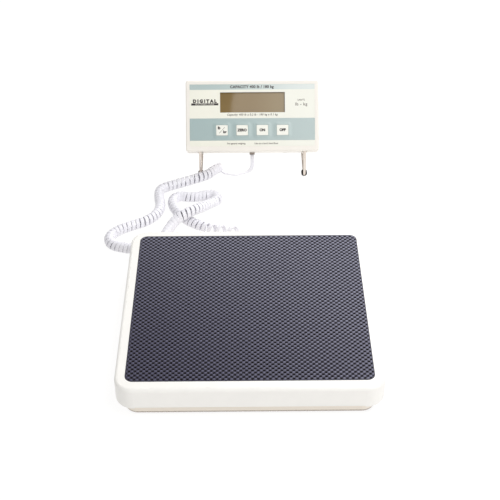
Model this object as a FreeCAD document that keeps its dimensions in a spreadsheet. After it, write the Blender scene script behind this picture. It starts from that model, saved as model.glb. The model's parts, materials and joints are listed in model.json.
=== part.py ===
import FreeCAD, Part
import math
import operator
import os
import Sketcher

# Low platform scale with a separate tilting display on a wire stand and a curly cord between them.
# +Z is up, the floor is Z = 0, the user stands on the -Y side, and X = 0 is the platform's centre.

DRIVING_SIZES = {
    # Platform, measured from its own centre
    "platform_width": 318.0, "platform_depth": 302.5, "platform_corner": 23.0,
    "platform_y": -144.09, "skirt_bottom": 20.4, "rim_top": 50.0, "cover_wall": 3.0,
    "edge_round": 4.0, "relief_height": 1.2, "relief_corner": 24.0,
    "mat_width": 293.0, "mat_depth": 276.5, "mat_corner": 9.8, "mat_floor": 48.5, "mat_top": 51.0,
    "mat_y": 1.2, "fit_gap": 0.2,
    # Base tray and feet
    "base_inset_x": 9.7, "base_inset_y": 12.1, "base_corner": 16.0, "base_bottom": 1.5, "base_rim": 31.0,
    "base_wall": 3.0,
    "foot_radius": 14.0, "foot_x": 118.0, "foot_y": 110.0, "foot_stem": 5.0,
    # Load cells and the steel deck above them
    "cell_x": 97.0, "cell_y": 96.0, "cell_length": 70.0, "cell_width": 12.5, "cell_bottom": 15.0,
    "cell_top": 27.2, "cell_reach": 26.0, "pad_radius": 7.0, "deck_travel": 0.8,
    "plate_width": 296.0, "plate_depth": 280.0, "plate_bottom": 41.5, "plate_top": 43.5,
    "channel_width": 26.0, "channel_height": 10.0, "channel_length": 270.0, "channel_gauge": 2.0,
    "deck_screw_x": 60.0, "deck_screw_y": 40.0,
    # Display housing, in its own frame: X across, Y into the case, Z up the face
    "display_width": 201.8, "display_height": 108.1, "display_depth": 30.0, "display_corner": 4.0,
    "display_wall": 2.5, "split": 14.0, "display_x": 7.7, "display_reach": 349.93,
    "display_edge": 48.56, "display_lean": 38.45,
    "overlay_width": 189.4, "overlay_height": 94.0, "overlay_lift": 7.9, "overlay_gauge": 0.3,
    "window_width": 98.2, "window_height": 30.6, "window_x": 0.4, "window_z": 74.3,
    "key_width": 17.6, "key_height": 15.6, "key_pitch": 30.6, "key_centre": -0.2, "key_z": 32.0,
    "key_proud": 1.8, "key_travel": 0.6, "key_gap": 0.35, "board_front": 10.0, "board_gauge": 1.6,
    "cell_length_aa": 50.5, "cell_radius_aa": 7.2, "tray_z": 54.2, "tray_length": 108.0,
    "tray_height": 33.0, "tray_front": 12.0, "door_gauge": 1.8, "hinge_radius": 1.7,
    "door_pin": 1.0, "running_gap": 0.05,
    # Wire stand
    "wire_radius": 2.0, "leg_x": 79.6, "sleeve_radius": 4.3, "pin_y": 6.0, "pin_z": 6.0,
    "rear_bar": 432.0, "rear_bend": 13.0, "foot_bend": 4.0, "top_bend": 4.0, "pin_reach": 65.0,
    "foot_reach": 9.4,
    # Cord
    "coil_radius": 7.5, "lead_radius": 2.0, "socket_x": 26.0, "socket_z": 12.5, "jack_x": -0.6,
    "jack_y": 20.0, "plug_width": 7.7, "plug_height": 6.6,
}

SAME_PLACE = 1e-4
KEY_NAMES = ("unit_key", "zero_key", "on_key", "off_key")
SIDES = (-1, 1)
CORNERS = [(sx, sy) for sx in SIDES for sy in SIDES]

doc = FreeCAD.newDocument("Scale")
sheet = doc.addObject("Spreadsheet::Sheet", "Sizes")
parts = []


# ---------------------------------------------------------------- driving sizes and expressions

class Size:
    """A size kept as a number and as the sheet expression that drives it."""

    def __init__(self, text, value):
        self.text = text
        self.value = value

    def __float__(self):
        return self.value

    def __neg__(self):
        return combine(0, "-", self)

    def __add__(self, other):
        return combine(self, "+", other)

    def __radd__(self, other):
        return combine(other, "+", self)

    def __sub__(self, other):
        return combine(self, "-", other)

    def __rsub__(self, other):
        return combine(other, "-", self)

    def __mul__(self, other):
        return combine(self, "*", other)

    def __rmul__(self, other):
        return combine(other, "*", self)

    def __truediv__(self, other):
        return combine(self, "/", other)


OPERATIONS = {"+": operator.add, "-": operator.sub, "*": operator.mul, "/": operator.truediv}


def as_size(item):
    return item if isinstance(item, Size) else Size(repr(item), float(item))


def combine(left, sign, right):
    left, right = as_size(left), as_size(right)
    return Size(f"({left.text} {sign} {right.text})", OPERATIONS[sign](left.value, right.value))


class Sizes:
    """The spreadsheet's cells by name."""


S = Sizes()
for row, (alias, number) in enumerate(DRIVING_SIZES.items(), start=1):
    sheet.set(f"A{row}", alias)
    sheet.set(f"B{row}", str(number))
    sheet.setAlias(f"B{row}", alias)
    setattr(S, alias, Size(f"<<Sizes>>.{alias}", number))
doc.recompute()


def bind(item, prop, amount):
    """Drive one property of a document object from the sheet."""
    item.setExpression(prop, as_size(amount).text)


def bind_place(item, x, y, z, turn=None, prefix="Placement"):
    """Put an object at x, y, z, turned by a fixed rotation."""
    spot = FreeCAD.Vector(*(float(as_size(v)) for v in (x, y, z)))
    setattr(item, prefix, FreeCAD.Placement(spot, turn or FreeCAD.Rotation()))
    for axis, amount in zip("xyz", (x, y, z)):
        bind(item, f"{prefix}.Base.{axis}", amount)


def in_display(item):
    """Lean a piece back with the display housing, whose own frame it was drawn in."""
    lean = FreeCAD.Rotation(FreeCAD.Vector(1, 0, 0), -float(S.display_lean))
    bind_place(item, S.display_x, S.platform_y + S.display_reach, S.display_edge, lean)
    bind(item, "Placement.Rotation.Angle", -S.display_lean)
    return item


def in_platform(item):
    bind_place(item, 0, S.platform_y, 0)
    return item


def keep(item, name):
    """Name a finished sub-part: its Label is its node and its file."""
    item.Label = name
    parts.append(item)
    return item


# ---------------------------------------------------------------- primitives and booleans

ALONG_X = FreeCAD.Rotation(FreeCAD.Vector(0, 1, 0), 90)
ALONG_Y = FreeCAD.Rotation(FreeCAD.Vector(1, 0, 0), -90)
ALONG_Z = FreeCAD.Rotation()


def brick(centre, size):
    """Box with its middle at centre."""
    item = doc.addObject("Part::Box", "brick")
    for prop, amount in zip(("Length", "Width", "Height"), size):
        bind(item, prop, amount)
    bind_place(item, *(as_size(c) - as_size(d) / 2 for c, d in zip(centre, size)))
    return item


def rod(base, radius, length, turn=ALONG_Z):
    item = doc.addObject("Part::Cylinder", "rod")
    bind(item, "Radius", radius)
    bind(item, "Height", length)
    bind_place(item, *base, turn)
    return item


def fuse(items):
    item = doc.addObject("Part::MultiFuse", "fuse")
    item.Shapes = items
    return item


def cut(base, tools):
    item = doc.addObject("Part::Cut", "cut")
    item.Base = base
    item.Tool = tools[0] if len(tools) == 1 else fuse(tools)
    return item


def group(items):
    item = doc.addObject("Part::Compound", "group")
    item.Links = items
    return item


def screw(x, y, z, turn, shank, length, head, head_height):
    """Pan-head screw whose shank runs along the turned +Z from its head's seat at x, y, z."""
    seat = FreeCAD.Placement(FreeCAD.Vector(0, 0, 0), turn)
    back = seat.multVec(FreeCAD.Vector(0, 0, -head_height))
    slot = head_height * 0.5
    recess = [rod((x + back.x, y + back.y, z + back.z), head * 0.35, slot, turn)]
    body = fuse([rod((x, y, z), shank, length, turn),
                 rod((x + back.x, y + back.y, z + back.z), head, head_height, turn)])
    return cut(body, recess)


# ---------------------------------------------------------------- sketches and bodies

def origin_plane(body, role):
    return next(f for f in body.Origin.OriginFeatures if f.Role == role)


def new_sketch(body, role, lift, x=0, y=0):
    """Sketch on one of the body's own origin planes, raised by lift along the plane's normal."""
    sketch = body.newObject("Sketcher::SketchObject", "sketch")
    sketch.AttachmentSupport = [(origin_plane(body, role), "")]
    sketch.MapMode = "FlatFace"
    bind_place(sketch, x, y, lift, prefix="AttachmentOffset")
    return sketch


def constrain(sketch, kind, *where, amount):
    """Add a driving constraint and bind it to the sheet."""
    amount = as_size(amount)
    index = sketch.addConstraint(Sketcher.Constraint(kind, *where, float(amount)))
    sketch.setExpression(f"Constraints[{index}]", amount.text)


def draw_rounded(sketch, width, height, corner):
    """Rounded rectangle centred on the sketch's origin."""
    w, t, r = float(as_size(width)) / 2, float(as_size(height)) / 2, float(as_size(corner))
    spots = [(-w + r, -t, w - r, -t), (w, -t + r, w, t - r), (w - r, t, -w + r, t), (-w, t - r, -w, -t + r)]
    centres = [(w - r, -t + r, -90), (w - r, t - r, 0), (-w + r, t - r, 90), (-w + r, -t + r, 180)]
    first = sketch.GeometryCount
    for x1, y1, x2, y2 in spots:
        sketch.addGeometry(Part.LineSegment(FreeCAD.Vector(x1, y1, 0), FreeCAD.Vector(x2, y2, 0)))
    for cx, cy, start in centres:
        circle = Part.Circle(FreeCAD.Vector(cx, cy, 0), FreeCAD.Vector(0, 0, 1), r)
        sketch.addGeometry(Part.ArcOfCircle(circle, math.radians(start), math.radians(start + 90)))
    for side in range(4):
        line, arc, after = first + side, first + 4 + side, first + (side + 1) % 4
        sketch.addConstraint(Sketcher.Constraint("Tangent", line, 2, arc, 1))
        sketch.addConstraint(Sketcher.Constraint("Tangent", arc, 2, after, 1))
        sketch.addConstraint(Sketcher.Constraint("Vertical" if side % 2 else "Horizontal", line))
    for side in range(1, 4):
        sketch.addConstraint(Sketcher.Constraint("Equal", first + 4, first + 4 + side))
    constrain(sketch, "Radius", first + 4, amount=corner)
    constrain(sketch, "DistanceX", first + 3, 1, first + 1, 1, amount=width)
    constrain(sketch, "DistanceY", first, 1, first + 2, 1, amount=height)
    sketch.addConstraint(Sketcher.Constraint("Symmetric", first, 1, first + 2, 1, -1, 1))


def draw_circles(sketch, spots, radius):
    for x, y in spots:
        index = sketch.addGeometry(Part.Circle(FreeCAD.Vector(float(as_size(x)), float(as_size(y)), 0),
                                               FreeCAD.Vector(0, 0, 1), float(as_size(radius))))
        constrain(sketch, "DistanceX", -1, 1, index, 3, amount=x)
        constrain(sketch, "DistanceY", -1, 1, index, 3, amount=y)
        constrain(sketch, "Radius", index, amount=radius)


def grow(body, kind, sketch, length, reverse=False):
    """Pad or pocket one sketch and check that it really changed the body."""
    before = body.Shape.Volume if body.Shape and not body.Shape.isNull() else 0.0
    feature = body.newObject(f"PartDesign::{kind}", kind.lower())
    feature.Profile = sketch
    feature.Reversed = reverse
    bind(feature, "Length", length)
    doc.recompute()
    change = body.Shape.Volume - before
    if (kind == "Pad") != (change > 0) or abs(change) < 1e-3:
        raise RuntimeError(f"{kind} in {body.Label} changed the volume by {change:.3f}")
    return feature


def round_edges(body, radius, test):
    """Fillet every edge of the body whose shape passes the test."""
    doc.recompute()
    tip = body.Tip
    chosen = [f"Edge{i}" for i, edge in enumerate(tip.Shape.Edges, start=1) if test(edge)]
    if not chosen:
        raise RuntimeError(f"no edges to round in {body.Label}")
    fillet = body.newObject("PartDesign::Fillet", "fillet")
    fillet.Base = (tip, chosen)
    bind(fillet, "Radius", radius)
    doc.recompute()


def level_edge(height):
    """Edges that lie wholly at one height."""
    def test(edge):
        return max(abs(edge.BoundBox.ZMin - height), abs(edge.BoundBox.ZMax - height)) < SAME_PLACE
    return test


def shell_body(width, depth, corner, bottom, top, y=0):
    """Body that starts as a rounded block from bottom to top."""
    body = doc.addObject("PartDesign::Body", "body")
    sketch = new_sketch(body, "XY_Plane", bottom, 0, y)
    draw_rounded(sketch, width, depth, corner)
    grow(body, "Pad", sketch, top - bottom)
    return body


def pocket_rounded(body, width, depth, corner, top, deep, x=0, y=0):
    """Cut a rounded pocket from the height top down by deep."""
    sketch = new_sketch(body, "XY_Plane", top, x, y)
    draw_rounded(sketch, width, depth, corner)
    grow(body, "Pocket", sketch, deep)


def pad_circles(body, spots, radius, bottom, tall):
    sketch = new_sketch(body, "XY_Plane", bottom)
    draw_circles(sketch, spots, radius)
    grow(body, "Pad", sketch, tall)


def pocket_circles(body, spots, radius, top, deep):
    sketch = new_sketch(body, "XY_Plane", top)
    draw_circles(sketch, spots, radius)
    grow(body, "Pocket", sketch, deep)


# ---------------------------------------------------------------- swept wire and cord

def swept_path(points, radii=None):
    """Straight runs joined by tangent arcs, and the smallest arc radius."""
    points = [FreeCAD.Vector(*(float(as_size(v)) for v in p)) for p in points]
    edges, used, here = [], [], points[0]
    for i in range(1, len(points) - 1):
        corner = points[i]
        back, ahead = points[i - 1] - corner, points[i + 1] - corner
        half_turn = (math.pi - back.getAngle(ahead)) / 2
        reach = 0.45 * min(back.Length, ahead.Length)
        if radii:
            reach = radii[i - 1] * math.tan(half_turn)
        used.append(reach / math.tan(half_turn))
        back.normalize()
        ahead.normalize()
        start, end = corner + back * reach, corner + ahead * reach
        inward = back + ahead
        inward.normalize()
        middle = corner + inward * used[-1] * (1 / math.cos(half_turn) - 1)
        edges += [Part.LineSegment(here, start).toShape(), Part.Arc(start, middle, end).toShape()]
        here = end
    edges.append(Part.LineSegment(here, points[-1]).toShape())
    return Part.Wire(edges), used


def sweep(points, radius, name, radii=None):
    """Round bar along the path; its volume is compared with its length."""
    wire, used = swept_path(points, radii)
    start = wire.Edges[0].valueAt(wire.Edges[0].FirstParameter)
    along = wire.Edges[0].tangentAt(wire.Edges[0].FirstParameter)
    ring = Part.Wire(Part.makeCircle(float(radius), start, along))
    solid = wire.makePipeShell([ring], True, False)
    ratio = solid.Volume / (math.pi * float(radius) ** 2 * wire.Length)
    print(f"{name}: length {wire.Length:.1f}, radii {[round(r, 1) for r in used]}, volume {ratio:.4f}")
    if abs(ratio - 1) > 0.01:
        raise RuntimeError(f"{name} has the wrong volume")
    return solid


def swept_part(shape):
    item = doc.addObject("Part::Feature", "swept")
    item.Shape = shape
    return item


# ---------------------------------------------------------------- the base and what is in it

BASE_WIDTH = S.platform_width - 2 * S.base_inset_x
BASE_DEPTH = S.platform_depth - 2 * S.base_inset_y
BASE_FLOOR = S.base_bottom + S.base_wall
BACK_WALL = BASE_DEPTH / 2
SOCKET_SIDE = 13.0
CELL_SCREW_OFFSETS = (18.0, 30.0)
CELL_SCREW = 2.0
BOARD_POSTS = [(sx * 26.0, sy * 16.0) for sx, sy in CORNERS]
BOARD_LIFT = 4.5
FOOT_SPOTS = [(sx * S.foot_x, sy * S.foot_y) for sx, sy in CORNERS]
CELL_SCREW_SPOTS = [(sx * (S.cell_x - offset), sy * S.cell_y)
                    for sx, sy in CORNERS for offset in CELL_SCREW_OFFSETS]


def base_tray():
    """Moulded tray with bosses for the load cells and an opening for the rear socket."""
    body = shell_body(BASE_WIDTH, BASE_DEPTH, S.base_corner, S.base_bottom, S.base_rim)
    round_edges(body, 1.0, level_edge(float(S.base_bottom)))
    pocket_rounded(body, BASE_WIDTH - 2 * S.base_wall, BASE_DEPTH - 2 * S.base_wall,
                   S.base_corner - S.base_wall, S.base_rim, S.base_rim - BASE_FLOOR)
    pad_circles(body, CELL_SCREW_SPOTS, 5.0, BASE_FLOOR, S.cell_bottom - BASE_FLOOR)
    pocket_circles(body, CELL_SCREW_SPOTS, CELL_SCREW, S.cell_bottom, 9.0)
    pad_circles(body, BOARD_POSTS, 3.0, BASE_FLOOR, BOARD_LIFT)
    pocket_circles(body, BOARD_POSTS, 1.2, BASE_FLOOR + BOARD_LIFT, BOARD_LIFT)
    pocket_circles(body, FOOT_SPOTS, S.foot_stem, BASE_FLOOR, S.base_wall)
    doorway = brick((S.socket_x, BACK_WALL, S.socket_z), (SOCKET_SIDE, 4 * S.base_wall, SOCKET_SIDE))
    return cut(body, [doorway])


def rubber_feet():
    feet = []
    for x, y in FOOT_SPOTS:
        sole = rod((x, y, 0), S.foot_radius, S.base_bottom)
        stem = rod((x, y, S.base_bottom), S.foot_stem, S.base_wall)
        cap = rod((x, y, BASE_FLOOR), S.foot_stem + 2, 1.5)
        feet.append(fuse([sole, stem, cap]))
    return group(feet)


def load_cells():
    """Four bending beams, each thinned by two joined holes where its gauges sit."""
    beams = []
    middle = (S.cell_bottom + S.cell_top) / 2
    for sx, sy in CORNERS:
        centre = (sx * S.cell_x, sy * S.cell_y, middle)
        beam = brick(centre, (S.cell_length, S.cell_width, S.cell_top - S.cell_bottom))
        bores = [rod((sx * (S.cell_x + step), sy * S.cell_y - S.cell_width, middle), 4.2,
                     2 * S.cell_width, ALONG_Y) for step in (-1.0, 9.0)]
        slot = brick((sx * (S.cell_x + 4.0), sy * S.cell_y, middle), (10.0, 2 * S.cell_width, 3.0))
        holes = [rod((sx * (S.cell_x - offset), sy * S.cell_y, S.cell_bottom - 1), CELL_SCREW + 0.2, 20.0)
                 for offset in CELL_SCREW_OFFSETS]
        beams.append(cut(beam, bores + [slot] + holes))
    return group(beams)


DOWNWARD = FreeCAD.Rotation(FreeCAD.Vector(1, 0, 0), 180)


def load_cell_screws():
    return group([screw(x, y, S.cell_top, DOWNWARD, CELL_SCREW, 20.0, 3.8, 2.2)
                  for x, y in CELL_SCREW_SPOTS])


BOARD_BOTTOM = BASE_FLOOR + BOARD_LIFT
BOARD_TOP = BOARD_BOTTOM + S.board_gauge
CONNECTOR = (8.0, 8.0, 6.0)
CONNECTOR_SPOTS = [(sx * 24.0, sy * 6.5) for sx, sy in CORNERS]


def junction_board():
    plate = brick((0, 0, BOARD_BOTTOM + S.board_gauge / 2), (60.0, 40.0, S.board_gauge))
    chip = brick((0, 4, BOARD_TOP + 1.0), (12.0, 12.0, 2.0))
    blocks = [brick((x, y, BOARD_TOP + CONNECTOR[2] / 2), CONNECTOR) for x, y in CONNECTOR_SPOTS]
    holes = [rod((x, y, BOARD_BOTTOM - 1), 1.3, 4.0) for x, y in BOARD_POSTS]
    return cut(fuse([plate, chip] + blocks), holes)


def junction_screws():
    return group([screw(x, y, BOARD_TOP, DOWNWARD, 1.2, 5.0, 2.4, 1.4) for x, y in BOARD_POSTS])


def cell_wires():
    """One lead from each load cell, along the tray's floor to its connector on the board."""
    wires = []
    for (sx, sy), (x, y) in zip(CORNERS, CONNECTOR_SPOTS):
        end_x = sx * (abs(x) + CONNECTOR[0] / 2)
        lift = BOARD_TOP + CONNECTOR[2] / 2
        start_x = sx * (S.cell_x - S.cell_length / 2)
        route = [(start_x, sy * S.cell_y, 21), (sx * 55, sy * S.cell_y, 21), (sx * 47, sy * 78, 9),
                 (sx * 44, sy * 48, 8), (sx * 42, sy * 20, 9), (sx * 37, y, lift), (end_x, y, lift)]
        wires.append(sweep(route, 1.2, "cell wire"))
    return swept_part(Part.makeCompound(wires))


def base_socket():
    """Modular socket in the tray's back wall, with its mouth to the rear."""
    deep = 16.0
    block = brick((S.socket_x, BACK_WALL - deep / 2, S.socket_z), (SOCKET_SIDE, deep, SOCKET_SIDE))
    mouth = brick((S.socket_x, BACK_WALL - 4, S.socket_z),
                  (S.plug_width + S.fit_gap, 16.0, S.plug_height + S.fit_gap))
    return cut(block, [mouth])


PLUG_IN, PLUG_OUT = 11.5, 2.5


def base_plug():
    middle = BACK_WALL + (PLUG_OUT - PLUG_IN) / 2
    body = brick((S.socket_x, middle, S.socket_z), (S.plug_width, PLUG_IN + PLUG_OUT, S.plug_height))
    neck = rod((S.socket_x, BACK_WALL + PLUG_OUT, S.socket_z), 2.6, 3.0, ALONG_Y)
    return fuse([body, neck])


# ---------------------------------------------------------------- the deck that is stood on

def platform_cover():
    """Moulded cover: rounded rim, skirt relieved between its corners, and the mat's recess."""
    inner_width = S.platform_width - 2 * S.cover_wall
    inner_depth = S.platform_depth - 2 * S.cover_wall
    ceiling = S.mat_floor - S.cover_wall
    body = shell_body(S.platform_width, S.platform_depth, S.platform_corner, S.skirt_bottom, S.rim_top)
    round_edges(body, S.edge_round, level_edge(float(S.rim_top)))
    pocket_rounded(body, inner_width, inner_depth, S.platform_corner - S.cover_wall, ceiling,
                   ceiling - S.skirt_bottom)
    round_edges(body, 4.0, level_edge(float(ceiling)))
    pocket_rounded(body, S.mat_width + S.fit_gap, S.mat_depth + S.fit_gap, S.mat_corner, S.rim_top,
                   S.rim_top - S.mat_floor, y=S.mat_y)
    relief = S.skirt_bottom + S.relief_height
    pocket_rounded(body, S.platform_width + 20, S.platform_depth - 2 * S.relief_corner, 1.0, relief,
                   S.relief_height)
    pocket_rounded(body, S.platform_width - 2 * S.relief_corner, S.platform_depth + 20, 1.0, relief,
                   S.relief_height)
    pad_circles(body, DECK_SCREW_SPOTS, 5.0, S.plate_top, ceiling - S.plate_top)
    pocket_circles(body, DECK_SCREW_SPOTS, DECK_SCREW, S.mat_floor - 0.5, S.mat_floor - 0.5 - S.plate_top)
    return body


DECK_SCREW = 1.7
DECK_SCREW_SPOTS = [(sx * S.deck_screw_x, sy * S.deck_screw_y) for sx, sy in CORNERS]


def tread_mat():
    body = shell_body(S.mat_width, S.mat_depth, S.mat_corner, S.mat_floor, S.mat_top, y=S.mat_y)
    round_edges(body, 0.6, level_edge(float(S.mat_top)))
    return body


def deck_plate():
    body = shell_body(S.plate_width, S.plate_depth, 14.0, S.plate_bottom, S.plate_top)
    pocket_circles(body, DECK_SCREW_SPOTS, DECK_SCREW + 0.1, S.plate_top, S.plate_top - S.plate_bottom)
    return body


CHANNEL_BOTTOM = S.plate_bottom - S.channel_height


def deck_channels():
    """Two pressed steel channels, open upwards, that carry the plate on the load pads."""
    channels = []
    for sy in SIDES:
        middle = S.plate_bottom - S.channel_height / 2
        outer = brick((0, sy * S.cell_y, middle), (S.channel_length, S.channel_width, S.channel_height))
        inner = brick((0, sy * S.cell_y, middle + S.channel_gauge),
                      (S.channel_length + 2, S.channel_width - 2 * S.channel_gauge, S.channel_height))
        channels.append(cut(outer, [inner]))
    return group(channels)


def load_pads():
    bottom = S.cell_top + S.deck_travel
    return group([rod((sx * (S.cell_x + S.cell_reach), sy * S.cell_y, bottom), S.pad_radius,
                      CHANNEL_BOTTOM - bottom) for sx, sy in CORNERS])


def deck_screws():
    return group([screw(x, y, S.plate_bottom, ALONG_Z, DECK_SCREW, 6.2, 3.6, 2.0)
                  for x, y in DECK_SCREW_SPOTS])


# ---------------------------------------------------------------- display shells, drawn upright

def face_sketch(body, front, x=0, z=0):
    """Sketch parallel to the display's face, at a depth behind it."""
    return new_sketch(body, "XZ_Plane", -as_size(front), x, z)


def face_body(width, height, corner, front, back, x=0, z=0):
    body = doc.addObject("PartDesign::Body", "body")
    sketch = face_sketch(body, front, x, z)
    draw_rounded(sketch, width, height, corner)
    grow(body, "Pad", sketch, as_size(back) - front, reverse=True)
    return body


def face_pocket(body, width, height, corner, front, deep, x=0, z=0):
    sketch = face_sketch(body, front, x, z)
    draw_rounded(sketch, width, height, corner)
    grow(body, "Pocket", sketch, deep)


def face_posts(body, spots, radius, front, back):
    sketch = face_sketch(body, front)
    draw_circles(sketch, spots, radius)
    grow(body, "Pad", sketch, as_size(back) - front, reverse=True)


def face_holes(body, spots, radius, front, back):
    sketch = face_sketch(body, front)
    draw_circles(sketch, spots, radius)
    grow(body, "Pocket", sketch, as_size(back) - front)


def depth_edge(depth):
    """Edges that lie wholly in one plane parallel to the display's face."""
    def test(edge):
        return max(abs(edge.BoundBox.YMin - depth), abs(edge.BoundBox.YMax - depth)) < SAME_PLACE
    return test


MIDDLE = S.display_height / 2
INNER_WIDTH = S.display_width - 2 * S.display_wall
INNER_HEIGHT = S.display_height - 2 * S.display_wall
INNER_BACK = S.display_depth - S.display_wall
OVERLAY_Z = S.overlay_lift + S.overlay_height / 2
KEY_SPOTS = [S.key_centre + S.key_pitch * step for step in (-1.5, -0.5, 0.5, 1.5)]
KEY_HOLE = (S.key_width + 2 * S.key_gap, S.key_height + 2 * S.key_gap)
CASE_SCREW = 1.45
CASE_POSTS = [(sx * 92.0, z) for sx in SIDES for z in (13.2, 102.7)]
PCB_POSTS = [(sx * 88.0, z) for sx in SIDES for z in (26.2, 91.2)]
BOARD_BACK = S.board_front + S.board_gauge
SLOT_X, SLOT_WIDTH, SLOT_BACK = 78.9, 7.8, 21.5
DISPLAY_SOCKET = (12.0, 11.0, 14.0)
INLET = (10.0, 10.0, 13.0)
INLET_SPOT = (50.0, 20.5)
DOOR_OPENING = (112.6, 37.0)
HINGE_Y = 28.0
HINGE_Z = S.tray_z - DOOR_OPENING[1] / 2 + 2.1


def leg_slots():
    """Slots in the housing's underside that let it turn on the stand's wire ends."""
    middle = S.display_wall + SLOT_BACK / 2 - 1.2
    return [brick((sx * SLOT_X, middle, 0), (SLOT_WIDTH, SLOT_BACK - 2.4, 6.0)) for sx in SIDES]


def front_bezel():
    body = face_body(S.display_width, S.display_height, S.display_corner, 0, S.split, z=MIDDLE)
    round_edges(body, 2.4, depth_edge(0.0))
    face_pocket(body, INNER_WIDTH, INNER_HEIGHT, 2.0, S.display_wall, S.split - S.display_wall, z=MIDDLE)
    face_pocket(body, S.overlay_width + 0.4, S.overlay_height + 0.4, 2.2, 0, S.overlay_gauge + 0.05,
                z=OVERLAY_Z)
    face_pocket(body, S.window_width, S.window_height, 0.8, 0, S.display_wall, S.window_x, S.window_z)
    for x in KEY_SPOTS:
        face_pocket(body, *KEY_HOLE, 1.5, 0, S.display_wall, x, S.key_z)
    face_posts(body, CASE_POSTS, 3.5, S.display_wall, S.split)
    face_posts(body, PCB_POSTS, 2.8, S.display_wall, S.board_front)
    face_holes(body, CASE_POSTS, CASE_SCREW, S.split - 7, S.split)
    face_holes(body, PCB_POSTS, 1.1, S.board_front - 5, S.board_front)
    return cut(body, leg_slots())


def back_cover():
    body = face_body(S.display_width, S.display_height, S.display_corner, S.split, S.display_depth,
                     z=MIDDLE)
    round_edges(body, 3.0, depth_edge(float(S.display_depth)))
    face_pocket(body, INNER_WIDTH, INNER_HEIGHT, 2.0, S.split, INNER_BACK - S.split, z=MIDDLE)
    face_pocket(body, *DOOR_OPENING, 1.0, INNER_BACK, S.display_wall, 0, S.tray_z)
    face_posts(body, CASE_POSTS, 3.5, S.split, INNER_BACK)
    face_holes(body, CASE_POSTS, CASE_SCREW + 0.15, S.split, S.display_depth)
    face_holes(body, CASE_POSTS, 3.1, S.display_depth - 2, S.display_depth)
    lugs = [brick((sx * (DOOR_OPENING[0] / 2 + 2), HINGE_Y - 1.0, HINGE_Z), (4.0, 3.0, 4.4))
            for sx in SIDES]
    bores = [rod((-59.5, HINGE_Y, HINGE_Z), S.door_pin + S.running_gap, 119.0, ALONG_X)]
    socket = brick((S.jack_x, S.jack_y + 0.5, 0), (DISPLAY_SOCKET[0], DISPLAY_SOCKET[1], 8.0))
    inlet = brick((INLET_SPOT[0], INLET_SPOT[1], 0), (INLET[0], INLET[1], 8.0))
    return cut(fuse([body] + lugs), bores + leg_slots() + [socket, inlet])


def face_overlay():
    """Printed film let into the face, open at the window and round each key."""
    lift = 0.05
    body = face_body(S.overlay_width, S.overlay_height, 2.0, lift, S.overlay_gauge + lift, z=OVERLAY_Z)
    face_pocket(body, S.window_width, S.window_height, 0.8, lift, S.overlay_gauge, S.window_x, S.window_z)
    for x in KEY_SPOTS:
        face_pocket(body, *KEY_HOLE, 1.5, lift, S.overlay_gauge, x, S.key_z)
    return body


LENS_BACK = S.display_wall + 1.5
HOLDER_FRONT = LENS_BACK + 0.1
GLASS_FRONT = HOLDER_FRONT + 1.0
GLASS_GAUGE = 2.8


def lcd_window():
    return face_body(S.window_width + 8, S.window_height + 7, 1.0, S.display_wall, LENS_BACK,
                     S.window_x, S.window_z)


def lcd_holder():
    body = face_body(S.window_width + 14, S.window_height + 13, 1.0, HOLDER_FRONT, S.board_front,
                     S.window_x, S.window_z)
    face_pocket(body, S.window_width - 1, S.window_height - 1, 0.5, HOLDER_FRONT, 1.0,
                S.window_x, S.window_z)
    face_pocket(body, S.window_width + 2.4, S.window_height + 4.4, 0.5, GLASS_FRONT,
                S.board_front - GLASS_FRONT, S.window_x, S.window_z)
    return body


def lcd_glass():
    return group([brick((S.window_x, GLASS_FRONT + GLASS_GAUGE / 2, S.window_z),
                        (S.window_width + 2, GLASS_GAUGE, S.window_height + 4))])


def contact_strips():
    """Two elastomer strips that join the glass to the board."""
    front = GLASS_FRONT + GLASS_GAUGE
    return group([brick((S.window_x, (front + S.board_front) / 2, S.window_z + side * 15.0),
                        (S.window_width - 4, S.board_front - front, 2.5)) for side in SIDES])


def main_board():
    plate = brick((0, S.board_front + S.board_gauge / 2, 58.7), (190.0, S.board_gauge, 77.0))
    chips = [brick((x, BOARD_BACK + 1.0, z), (size, 2.0, size))
             for x, z, size in ((-75, 72, 14.0), (-76, 46, 9.0), (76, 50, 10.0))]
    holes = [rod((x, S.board_front - 1, z), 1.2, 4.0, ALONG_Y) for x, z in PCB_POSTS]
    return cut(fuse([plate] + chips), holes)


FORWARD = FreeCAD.Rotation(FreeCAD.Vector(1, 0, 0), 90)


def board_screws():
    return group([screw(x, BOARD_BACK, z, FORWARD, 1.1, 6.0, 2.3, 1.4) for x, z in PCB_POSTS])


def case_screws():
    seat = S.display_depth - 2
    return group([screw(x, seat, z, FORWARD, CASE_SCREW, 20.0, 2.9, 1.6) for x, z in CASE_POSTS])


KEY_BACK = 6.0


def key_switches():
    switches = []
    for x in KEY_SPOTS:
        front = S.board_front - 3
        case = brick((x, (front + S.board_front) / 2, S.key_z), (12.0, 3.0, 12.0))
        plunger_front = KEY_BACK + S.key_travel
        plunger = rod((x, plunger_front, S.key_z), 2.5, front - plunger_front, ALONG_Y)
        switches.append(fuse([case, plunger]))
    return group(switches)


def key(x):
    """Square key cap with a flange behind the face and a stem to its switch."""
    flange_front = S.display_wall + 0.1
    body = face_body(S.key_width, S.key_height, 1.2, -S.key_proud, flange_front, x, S.key_z)
    round_edges(body, 0.6, depth_edge(-float(S.key_proud)))
    sketch = face_sketch(body, flange_front, x, S.key_z)
    draw_rounded(sketch, S.key_width + 2.6, S.key_height + 2.6, 1.5)
    grow(body, "Pad", sketch, 1.2, reverse=True)
    face_posts(body, [(x, S.key_z)], 3.0, flange_front + 1.2, KEY_BACK)
    return body


def buzzer():
    case = rod((78, BOARD_BACK, 88), 6.0, 7.0, ALONG_Y)
    vent = rod((78, BOARD_BACK + 5, 88), 1.0, 3.0, ALONG_Y)
    return cut(case, [vent])


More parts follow.
